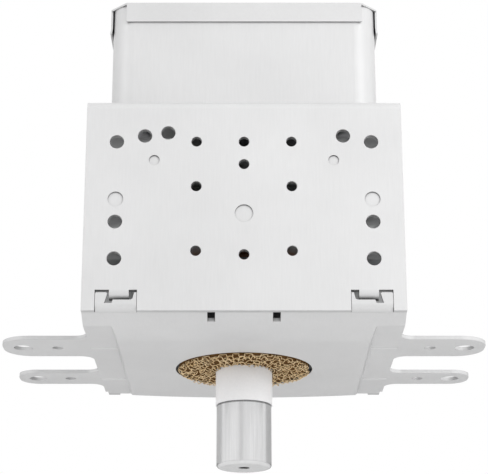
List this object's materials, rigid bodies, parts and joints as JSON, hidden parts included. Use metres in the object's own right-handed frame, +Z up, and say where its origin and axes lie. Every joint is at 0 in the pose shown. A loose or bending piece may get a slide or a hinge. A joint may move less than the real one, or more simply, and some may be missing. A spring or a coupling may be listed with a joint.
{
  "type": "magnetron",
  "caption": "Microwave-oven magnetron: vaned tube between ring magnets in a perforated steel yoke, with cooling fins, filter box, mounting ears, knitted gasket and capped antenna.",
  "frame": {"origin": "on the tube axis, centre of the four ear holes, in the plane of the ears' lower face", "axes": "+Z up towards the filter box, antenna along -Z, perforated front leg at -Y, ears along X"},
  "size_m": [0.1254, 0.093, 0.1195],
  "materials": {
    "zinc_sheet": "satin zinc-plated sheet",
    "bright_steel": "bright drawn steel",
    "pole_iron": "satin iron",
    "cathode_metal": "dull refractory metal",
    "ferrite": "matt pressed ferrite",
    "copper": "satin copper",
    "winding": "enamelled copper wire",
    "gasket_wire": "knitted wire",
    "terminal_brass": "tinned brass",
    "white_ceramic": "smooth sintered ceramic",
    "capacitor_ceramic": "potted ceramic",
    "fin_aluminium": "mill finish",
    "black_plastic": "matt moulding"
  },
  "bodies": {
    "root": {"yoke_frame": "zinc_sheet", "mounting_plate": "zinc_sheet", "filter_box": "zinc_sheet", "filter_box_lid": "zinc_sheet", "antenna_cap": "bright_steel", "input_seal_cup": "bright_steel", "output_seal_cup": "bright_steel", "box_rivets": "bright_steel", "capacitor_flange": "bright_steel", "capacitor_rivets": "bright_steel", "lower_pole_piece": "pole_iron", "upper_pole_piece": "pole_iron", "filament": "cathode_metal", "lower_end_hat": "cathode_metal", "upper_end_hat": "cathode_metal", "centre_lead": "cathode_metal", "side_lead": "cathode_metal", "left_stem_terminal": "cathode_metal", "right_stem_terminal": "cathode_metal", "lower_magnet": "ferrite", "upper_magnet": "ferrite", "left_choke_core": "ferrite", "right_choke_core": "ferrite", "anode_cylinder": "copper", "vane_01": "copper", "vane_02": "copper", "vane_03": "copper", "vane_04": "copper", "vane_05": "copper", "vane_06": "copper", "vane_07": "copper", "vane_08": "copper", "vane_09": "copper", "vane_10": "copper", "lower_inner_strap": "copper", "lower_outer_strap": "copper", "upper_inner_strap": "copper", "upper_outer_strap": "copper", "exhaust_tube": "copper", "antenna_lead": "copper", "left_choke_coil": "winding", "right_choke_coil": "winding", "rf_gasket": "gasket_wire", "left_blade_terminal": "terminal_brass", "right_blade_terminal": "terminal_brass", "output_ceramic": "white_ceramic", "stem_ceramic": "white_ceramic", "capacitor_body": "capacitor_ceramic", "cooling_fin_1": "fin_aluminium", "cooling_fin_2": "fin_aluminium", "cooling_fin_3": "fin_aluminium", "cooling_fin_4": "fin_aluminium", "cooling_fin_5": "fin_aluminium", "cooling_fin_6": "fin_aluminium", "capacitor_shroud": "black_plastic"}
  },
  "joints": []
}
